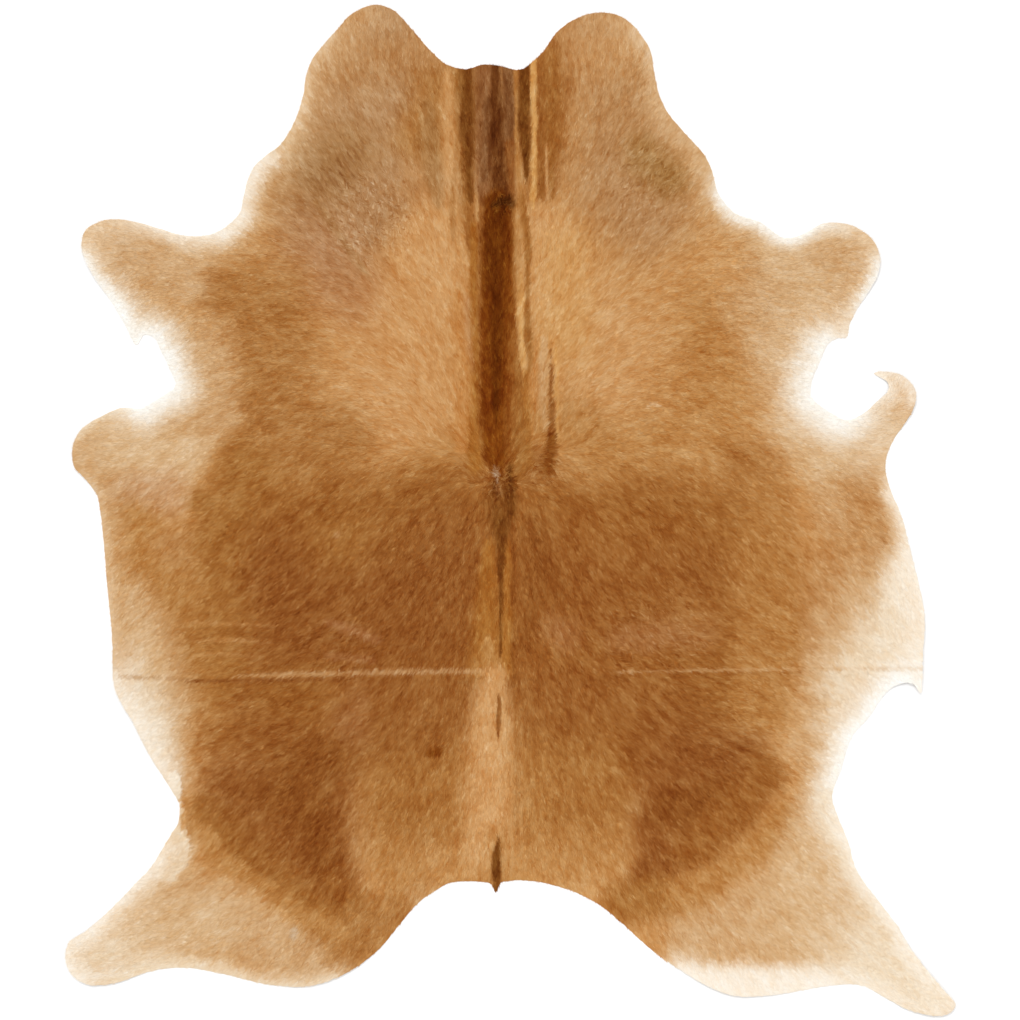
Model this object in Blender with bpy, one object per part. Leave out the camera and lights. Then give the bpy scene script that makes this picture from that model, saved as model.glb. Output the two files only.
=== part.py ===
"""Hair-on cowhide rug, one whole hide laid flat with the hair side up.

Metres, +Z up. Seen from above with the neck at the top, +X is to the right and +Y
runs to the neck. The origin is on the surface, under the middle of the hide's box.
"""

import math
import random

import bmesh
import bpy
from mathutils import Vector
from mathutils.geometry import delaunay_2d_cdt

# Driving dimensions
LENGTH = 2.222  # from the cheeks' tops to the hind legs' ends; the whole plan follows it
LEATHER = 0.0026  # the tanned skin along the spine
COAT = 0.0024  # the short hair lying on it
FLANK_SHARE = 0.75  # the thickness at the flanks, as a share of that along the spine
RIM_SHARE = 0.6  # the cut rim's thickness, as a share of that beside it
RIM_BAND = 0.030  # how far in from the rim the hide reaches its whole thickness
SPINE_X = -0.030  # where the spine runs, from the neck to the tail

# Mesh spacing
LONGEST_RIM_STEP = 0.028
SHARPEST_RIM_TURN = math.radians(11)
SPLINE_STEPS = 12
CELL = 0.050  # where the hide is plain
PLEAT_CELL = 0.012  # across the pleats along the spine
PLEATED_FROM = -0.200
PLEATED_TO = 0.130
CREASE_ROWS = (-1.2, -0.6, 0.0, 0.6, 1.2)  # beside a cross crease, in its half widths
CREASE_CLEARANCE = 1.8  # the next plain row's least distance from it, likewise
RIM_CLEARANCE = 0.45  # a mesh point's least distance from the rim, in cells
SCATTER = 0.08  # how far a mesh point strays from its row and column, in cells
SAME_POINT = 1e-6

CARAMEL = (0.46, 0.23, 0.08, 1.0)
COAT_ROUGHNESS = 0.7

# The hide's outline, clockwise from the nape, in millimetres. Each stretch runs up to
# the next one, and a smooth closed curve passes through all of their points.
OUTLINE = {
    "nape": [(-103, 970), (-61, 979), (-32, 978), (7, 969), (30, 972)],
    "right cheek": [
        (69, 1006), (107, 1056), (159, 1087), (201, 1093), (245, 1083), (283, 1049),
        (308, 1006), (317, 954),
    ],
    "right neck": [
        (327, 913), (345, 874), (398, 813), (430, 775), (447, 731), (456, 698), (494, 653),
        (551, 632),
    ],
    "right shoulder notch": [(575, 613), (604, 598), (637, 604), (685, 629)],
    "right foreleg": [
        (721, 632), (765, 618), (797, 591), (812, 551), (801, 503), (766, 449), (745, 408),
        (739, 380),
    ],
    "right armpit": [
        (718, 378), (696, 362), (681, 327), (661, 278), (662, 247), (692, 222), (737, 198),
        (773, 210), (806, 239), (832, 268),
    ],
    "right flap": [
        (826, 284), (799, 301), (830, 304), (863, 294), (889, 263), (883, 219), (842, 154),
        (825, 107),
    ],
    "right flank": [(830, 60), (859, -12), (882, -102), (901, -179), (910, -241), (905, -322)],
    "right belly corner": [
        (904, -384), (901, -403), (880, -379), (842, -388), (815, -415), (791, -452),
        (754, -494), (738, -531),
    ],
    "right groin": [(727, -571), (707, -628), (718, -670), (742, -729), (760, -791)],
    "right hind leg": [
        (810, -861), (850, -914), (877, -960), (929, -1028), (962, -1066), (977, -1087),
        (965, -1104), (938, -1111), (872, -1097), (814, -1066), (773, -1045),
    ],
    "right rump": [
        (714, -1044), (637, -1057), (560, -1068), (494, -1068), (442, -1051), (373, -1011),
        (317, -973), (250, -913), (197, -869), (131, -836), (65, -818), (10, -814),
    ],
    "tail": [(-21, -819), (-25, -825), (-33, -841), (-41, -824), (-50, -819)],
    "left rump": [
        (-103, -816), (-138, -821), (-173, -841), (-212, -872), (-251, -920), (-300, -975),
        (-353, -1013), (-415, -1040), (-463, -1048), (-540, -1042),
    ],
    "left hind leg": [
        (-628, -1021), (-716, -1006), (-793, -1014), (-863, -1038), (-925, -1043),
        (-962, -1022), (-978, -987), (-971, -951), (-936, -927), (-882, -880), (-833, -830),
    ],
    "left groin": [(-793, -788), (-761, -737), (-731, -685), (-729, -648), (-753, -604)],
    "left flank": [
        (-792, -542), (-834, -460), (-869, -394), (-876, -285), (-887, -164), (-900, -21),
        (-910, 32),
    ],
    "left flap": [
        (-936, 70), (-958, 93), (-963, 133), (-947, 173), (-907, 202), (-853, 225), (-815, 223),
    ],
    "left armpit": [
        (-769, 249), (-737, 274), (-748, 307), (-767, 346), (-784, 379), (-806, 386),
        (-823, 363),
    ],
    "left foreleg": [
        (-848, 407), (-877, 456), (-920, 520), (-942, 573), (-934, 615), (-894, 636),
        (-848, 638), (-800, 627), (-724, 605), (-685, 602),
    ],
    "left shoulder notch": [(-646, 611), (-598, 650)],
    "left neck": [
        (-588, 683), (-580, 720), (-560, 760), (-503, 808), (-472, 862), (-456, 914),
        (-447, 965),
    ],
    "left cheek": [
        (-430, 1001), (-385, 1052), (-349, 1090), (-300, 1110), (-256, 1097), (-217, 1057),
        (-175, 1009), (-140, 979),
    ],
}
DRAWN_MM = 0.001 * LENGTH / 2.222  # a drawn millimetre, as the outline is 2222 mm long

# Ridges that the folded hide keeps, in millimetres: name, the two ends of its top line,
# half width, height, and how far it dies away at each end. The pleats beside the neck
# start past the rim, so that they are whole where they run off it.
RIDGE_COLUMNS = ("name", "start", "end", "half_width", "height", "fade")
RIDGES = [dict(zip(RIDGE_COLUMNS, row)) for row in [
    ("left neck pleat", (-134, 1130), (-128, 540), 26, 7.0, 170),
    ("outer left neck pleat", (-192, 960), (-186, 690), 27, 3.0, 110),
    ("neck spine roll", (-30, 1130), (-30, 500), 40, 6.5, 170),
    ("right neck pleat", (57, 1130), (52, 610), 20, 6.0, 150),
    ("outer right neck pleat", (108, 990), (100, 680), 27, 3.0, 110),
    ("withers spine roll", (-30, 640), (-28, 60), 44, 3.0, 160),
    ("withers pleat", (24, 540), (22, 270), 19, 4.5, 90),
    ("shoulder fold", (96, 400), (106, 70), 17, 6.0, 110),
    ("back spine roll", (-34, -60), (-34, -830), 34, 3.0, 200),
    ("rump cross crease", (-900, -374), (930, -348), 17, 3.2, 190),
    ("back cross crease", (-640, 44), (640, 48), 34, 2.2, 220),
]]

# Places where the hide does not lie down, in millimetres: name, middle, half length,
# half width, the direction of its length in degrees from +X, and height.
WAVE_COLUMNS = ("name", "middle", "half_length", "half_width", "direction", "height")
WAVES = [dict(zip(WAVE_COLUMNS, row)) for row in [
    ("left cheek", (-310, 1060), 190, 110, 60, 6.0),
    ("right cheek", (220, 1050), 170, 100, 110, 6.0),
    ("left foreleg", (-930, 560), 210, 120, 60, 8.0),
    ("right foreleg", (800, 560), 200, 120, 120, 7.0),
    ("left flap", (-950, 130), 150, 80, 80, 7.0),
    ("right flap", (880, 260), 150, 80, 110, 9.0),
    ("left belly edge", (-880, -420), 260, 110, 115, 8.0),
    ("right belly corner", (920, -330), 230, 120, 80, 10.0),
    ("right flank edge", (900, -60), 190, 70, 75, 4.0),
    ("left hind leg", (-930, -1000), 230, 110, 25, 8.0),
    ("right hind leg", (930, -1070), 230, 110, -55, 8.0),
    ("left rump edge", (-400, -1050), 230, 80, 20, 5.0),
    ("right rump edge", (480, -1070), 240, 80, -15, 5.0),
]]


def remove_scene_objects():
    for item in list(bpy.data.objects):
        bpy.data.objects.remove(item, do_unlink=True)


def plan_point(point):
    """Turn a drawn place in millimetres into metres on this hide."""
    return Vector(point) * DRAWN_MM


def curve_point(before, start, end, after, share):
    """Place a point on the centripetal spline between two of its points."""
    knots = [0.0]
    for a, b in ((before, start), (start, end), (end, after)):
        knots.append(knots[-1] + math.sqrt((b - a).length))
    at = knots[1] + (knots[2] - knots[1]) * share

    def blend(a, b, low, high):
        return a * ((high - at) / (high - low)) + b * ((at - low) / (high - low))

    first = blend(before, start, knots[0], knots[1])
    middle = blend(start, end, knots[1], knots[2])
    last = blend(end, after, knots[2], knots[3])
    left = blend(first, middle, knots[0], knots[2])
    right = blend(middle, last, knots[1], knots[3])
    return blend(left, right, knots[1], knots[2])


def smooth_outline():
    """Run the closed curve through the outline's points, in close steps."""
    points = [plan_point(p) for stretch in OUTLINE.values() for p in stretch]
    count = len(points)
    ring = []
    for i in range(count):
        four = [points[(i + k - 1) % count] for k in range(4)]
        for step in range(SPLINE_STEPS):
            ring.append(curve_point(*four, step / SPLINE_STEPS))
    return ring


def thin_out(ring):
    """Keep the points of the ring that its bends and the longest step need."""
    kept = [ring[0]]
    turned = 0.0
    for i in range(1, len(ring) - 1):
        into = ring[i] - ring[i - 1]
        out = ring[i + 1] - ring[i]
        turned += abs(into.angle_signed(out, 0.0))
        length = (ring[i] - kept[-1]).length
        if turned > SHARPEST_RIM_TURN or length > LONGEST_RIM_STEP:
            kept.append(ring[i])
            turned = 0.0
    return kept


def box_middle(ring):
    low = Vector((min(p.x for p in ring), min(p.y for p in ring)))
    high = Vector((max(p.x for p in ring), max(p.y for p in ring)))
    return (low + high) / 2


def bump(distance):
    """A soft rise: 1 in the middle and level with the rest from 1 outwards."""
    if distance >= 1.0:
        return 0.0
    return math.cos(distance * math.pi / 2) ** 2


def ridge_height(ridge, point):
    start = plan_point(ridge["start"])
    along = plan_point(ridge["end"]) - start
    length = along.length
    along.normalize()
    place = point - start
    run = place.dot(along)
    aside = abs(place.cross(along))
    fade = ridge["fade"] * DRAWN_MM
    reach = min(run, length - run) / fade
    if reach <= 0.0:
        return 0.0
    rise = bump(aside / (ridge["half_width"] * DRAWN_MM))
    return ridge["height"] * DRAWN_MM * rise * bump(1.0 - min(reach, 1.0))


def wave_height(wave, point):
    direction = math.radians(wave["direction"])
    along = Vector((math.cos(direction), math.sin(direction)))
    place = point - plan_point(wave["middle"])
    run = place.dot(along) / (wave["half_length"] * DRAWN_MM)
    aside = place.cross(along) / (wave["half_width"] * DRAWN_MM)
    return wave["height"] * DRAWN_MM * bump(math.hypot(run, aside))


def lift(point):
    """How far the underside stands off the surface at a place in the plan."""
    ridges = sum(ridge_height(ridge, point) for ridge in RIDGES)
    waves = sum(wave_height(wave, point) for wave in WAVES)
    return ridges + waves


def spaced(start, end, step):
    count = max(1, round((end - start) / step))
    return [start + (end - start) * i / count for i in range(count + 1)]


def grid_columns(half_width):
    """Columns of mesh points, close together across the pleats."""
    left = spaced(-half_width, PLEATED_FROM, CELL)
    pleated = spaced(PLEATED_FROM, PLEATED_TO, PLEAT_CELL)
    right = spaced(PLEATED_TO, half_width, CELL)
    return left[:-1] + pleated + right[1:]


def grid_rows(half_length):
    """Rows of mesh points, as the level at x = 0 and the slope, close across creases."""
    lines = [(level, 0.0) for level in spaced(-half_length, half_length, CELL)]
    for crease in RIDGES:
        if "crease" not in crease["name"]:
            continue
        start, end = plan_point(crease["start"]), plan_point(crease["end"])
        slope = (end.y - start.y) / (end.x - start.x)
        middle = start.y - slope * start.x
        width = crease["half_width"] * DRAWN_MM
        clear = CREASE_CLEARANCE * width
        lines = [line for line in lines if abs(line[0] - middle) > clear]
        lines += [(middle + width * share, slope) for share in CREASE_ROWS]
    return lines


def distance_to_ring(point, ring):
    best = math.inf
    for a, b in zip(ring, ring[1:] + ring[:1]):
        run = b - a
        share = max(0.0, min(1.0, (point - a).dot(run) / run.length_squared))
        best = min(best, (a + run * share - point).length)
    return best


def is_inside(point, ring):
    inside = False
    for a, b in zip(ring, ring[1:] + ring[:1]):
        if (a.y > point.y) != (b.y > point.y):
            if point.x < a.x + (point.y - a.y) * (b.x - a.x) / (b.y - a.y):
                inside = not inside
    return inside


def field_points(ring):
    """Mesh points inside the ring, clear enough of it for well-shaped faces."""
    half_width = max(abs(p.x) for p in ring)
    half_length = max(abs(p.y) for p in ring)
    lines = grid_rows(half_length)
    scatter = random.Random(3)
    field = []
    for x in grid_columns(half_width):
        cell = PLEAT_CELL if PLEATED_FROM <= x <= PLEATED_TO else CELL
        for level, slope in lines:
            aside = scatter.uniform(-SCATTER, SCATTER) * cell
            along = scatter.uniform(-SCATTER, SCATTER) * PLEAT_CELL
            point = Vector((x + aside, level + slope * x + along))
            if not is_inside(point, ring):
                continue
            if distance_to_ring(point, ring) > RIM_CLEARANCE * cell:
                field.append(point)
    return field


def thickness_share(point, ring):
    """The hide's thickness at a place, as a share of that along the spine."""
    half_width = max(abs(p.x) for p in ring)
    outwards = min(1.0, abs(point.x - SPINE_X) / half_width)
    plain = 1.0 - (1.0 - FLANK_SHARE) * outwards**2
    inwards = min(1.0, distance_to_ring(point, ring) / RIM_BAND)
    return plain * (RIM_SHARE + (1.0 - RIM_SHARE) * inwards)


def hide_material():
    material = bpy.data.materials.new("caramel cowhide")
    material.use_nodes = True
    shader = material.node_tree.nodes["Principled BSDF"]
    shader.inputs["Base Color"].default_value = CARAMEL
    shader.inputs["Roughness"].default_value = COAT_ROUGHNESS
    shader.inputs["Metallic"].default_value = 0.0
    material.diffuse_color = CARAMEL
    return material


def make_hide():
    """One sheet over the folds, thickened upwards and thinner along its rim."""
    ring = thin_out(smooth_outline())
    field = field_points(ring)
    rim = [(i, (i + 1) % len(ring)) for i in range(len(ring))]
    inside_only = 1
    made = delaunay_2d_cdt(ring + field, rim, [], inside_only, SAME_POINT)
    flat, _, faces = made[:3]

    mesh = bpy.data.meshes.new("hide")
    mesh.from_pydata([(p.x, p.y, lift(p)) for p in flat], [], faces)
    edit = bmesh.new()
    edit.from_mesh(mesh)
    bmesh.ops.recalc_face_normals(edit, faces=edit.faces)
    if sum(face.normal.z for face in edit.faces) < 0:
        bmesh.ops.reverse_faces(edit, faces=edit.faces)
    edit.to_mesh(mesh)
    edit.free()
    mesh.shade_smooth()
    mesh.materials.append(hide_material())

    hide = bpy.data.objects.new("hide", mesh)
    bpy.context.scene.collection.objects.link(hide)
    middle = box_middle(ring)
    hide.location = (-middle.x, -middle.y, 0.0)

    body = hide.vertex_groups.new(name="whole thickness")
    for i, point in enumerate(flat):
        body.add([i], thickness_share(point, ring), "REPLACE")
    thicken = hide.modifiers.new("leather and coat", "SOLIDIFY")
    thicken.thickness = LEATHER + COAT
    thicken.offset = 1.0
    thicken.vertex_group = body.name
    return hide


remove_scene_objects()
make_hide()
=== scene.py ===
"""The looks of a hair-on cowhide rug: its skin, its coat of hair and a plain studio."""

import math

import bpy
import numpy as np
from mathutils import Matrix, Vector
from mathutils.bvhtree import BVHTree
from mathutils.geometry import delaunay_2d_cdt
from mathutils.kdtree import KDTree


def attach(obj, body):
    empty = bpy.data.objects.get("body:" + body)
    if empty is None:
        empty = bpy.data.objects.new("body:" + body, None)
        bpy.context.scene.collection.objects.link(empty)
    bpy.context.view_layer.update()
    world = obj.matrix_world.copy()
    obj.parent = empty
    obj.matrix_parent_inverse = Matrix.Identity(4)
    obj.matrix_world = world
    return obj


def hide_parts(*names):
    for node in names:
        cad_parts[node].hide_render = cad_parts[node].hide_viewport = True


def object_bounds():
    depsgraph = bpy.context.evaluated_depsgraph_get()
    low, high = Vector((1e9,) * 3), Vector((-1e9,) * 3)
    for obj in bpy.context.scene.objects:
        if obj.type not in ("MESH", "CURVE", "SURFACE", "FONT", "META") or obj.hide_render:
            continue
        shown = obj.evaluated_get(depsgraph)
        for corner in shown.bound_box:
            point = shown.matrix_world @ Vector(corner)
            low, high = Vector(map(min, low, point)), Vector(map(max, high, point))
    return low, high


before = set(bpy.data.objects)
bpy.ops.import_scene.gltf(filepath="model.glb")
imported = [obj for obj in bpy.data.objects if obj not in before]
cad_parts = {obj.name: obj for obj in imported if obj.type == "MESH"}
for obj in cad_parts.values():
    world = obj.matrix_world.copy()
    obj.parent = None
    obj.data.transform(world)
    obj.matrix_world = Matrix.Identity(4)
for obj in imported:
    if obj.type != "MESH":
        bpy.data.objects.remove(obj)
cad_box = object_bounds()

# Driving sizes, in metres
LEATHER_SHARE = 0.52  # of the hide's thickness, under the hair
THINNEST_SKIN = 0.0009
RIM_STEP = 0.0042
CLOSE_RIM_STEP = RIM_STEP / 3
FIELD_STEP = 0.005  # of the grid that the solid is read on
FIELD_MARGIN = 6 * FIELD_STEP
SKIN_STEP = 0.0095
SPINE_STEP = 0.0052
SPINE_BAND = (-0.190, 0.130)  # in x, where the skin's places are closer together
FLESH_STEP = 0.022
RAY_START = 1.0
CLOSEST = 1e-7
# The cut rim's waves: how far they go, how long they are, and the seed.
RIM_WAVES = [(0.0006, 0.020, 41), (0.0004, 0.006, 42)]

# How the skin is meshed, in shares of a step or of a side
SEED = 11
PLACE_STRAY = 0.12
SKIN_MARGIN = 0.6
FLESH_MARGIN = 0.5
CURVE_CUTS = 8
UPWARD = 0.6
LAST_CELL = 1.001
HEIGHT_SPREAD_ROUNDS = 8
HEIGHT_SOFTEN_ROUNDS = 2
SHARP_ANGLE = math.radians(50)
FLAT_MARGIN = 1.03
HAIR_SIDE, FLESH_SIDE = 0, 1

# The hair: its sizes in metres, and how much one hair differs from the next
HAIR_NAMES = ("hair_neck", "hair_shoulders", "hair_back", "hair_rump")
HAIR_LENGTH = 0.0125
HAIR_WIDTH = 0.0020
CLUMP_STEP = 0.0046
HAIRS_TO_A_CLUMP = 4
HAIR_MARGIN = 0.001
TIP_OVERHANG = 0.0035
ROOT_INSET = 0.0008
ROOT_DEPTH = 0.0002
LOWEST_HAIR = 0.0003
COLOUR_STRAY = 0.0045
LENGTHS = (0.75, 1.25)
WIDTHS = (0.7, 1.3)
RISES = (0.25, 1.1)  # of the tip, in shares of the coat's thickness
CLUMP_SLIDE = 0.5  # along the hair, in shares of its length
HAIR_SLIDE = 0.3
HAIR_STRAY = math.radians(6)
HAIR_ROLL = 0.25
HAIR_TONE = 0.025
CLUMP_TONE = 0.10
# A clump's tone: its even part and its dark part, and how it grows where the hair strays. The dark part
# deepens a few clumps, partly as dark hair and partly as painted shade for the thin shadows between
# hairs.
EVEN_TONE, DARK_HAIR_AND_SHADE_TONE = 0.9, 0.3
PLAIN_TONE, TANGLED_TONE = 0.7, 1.9
# Hairs shade and light each other. These take the colour of the whole coat, as it looks,
# back to a single hair's own, in red, green and blue.
HAIR_POWER = (0.935, 0.98, 1.02)
HAIR_GAIN = (0.956, 0.992, 1.043)

# The studio, in metres
FLOOR_SIZE = 40.0
FLOOR_GAP = 0.0002
ROOM_LIGHT = 0.93
SOFT_LIGHT = 1.25
SOFT_LIGHT_SPREAD = math.radians(35)
SOFT_LIGHT_FROM = (-0.25, 0.75, 1.2)
LENS_MM, SENSOR_MM = 85.0, 36.0
FARTHEST = 100.0

# The coat's plan. Its places are read from the photograph, in its pixels, to the right and
# down from its top left corner.
HIDE_LENGTH_PX = 1009.5
HIDE_MIDDLE_PX = (510.3, 510.3)
PIXEL = (cad_box[1].y - cad_box[0].y) / HIDE_LENGTH_PX
FRAME_PX = 1020


def to_pixels(x, y):
    """The photograph's pixel for a place on the hide, in metres."""
    return x / PIXEL + HIDE_MIDDLE_PX[0], HIDE_MIDDLE_PX[1] - y / PIXEL


# The coat's colours, as they look in even light.
PALETTE = {
    "ivory": "FBF5EB", "cream": "F5E6D2", "oat": "ECD7BA", "buff": "E2C29C", "pale tan": "D9B488",
    "tan": "CFA475", "honey": "D5A060", "caramel": "CF9A63", "deep caramel": "C8925A",
    "gold": "C2854A", "sand": "C08C58", "camel": "B4865A", "dull camel": "AA7C4C",
    "pale ochre": "B88047", "ochre": "AD753F", "deep ochre": "A36A33", "dull ochre": "A2743F",
    "olive": "97704A", "rose tan": "B57F55", "amber": "A6682B", "hazel": "9C612D",
    "chestnut": "965B2A", "brown": "8F5426", "russet": "884E20", "drab": "8A5731",
    "cocoa": "7B4D2B", "cinnamon": "91521F", "sienna": "783A0C", "dark sienna": "5A2806",
    "umber": "6E3C14", "mahogany": "5E3012", "bister": "4A2308", "flax": "CBA07A", "ash": "CDB8A0",
}
BASE_COLOUR = "deep caramel"

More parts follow.
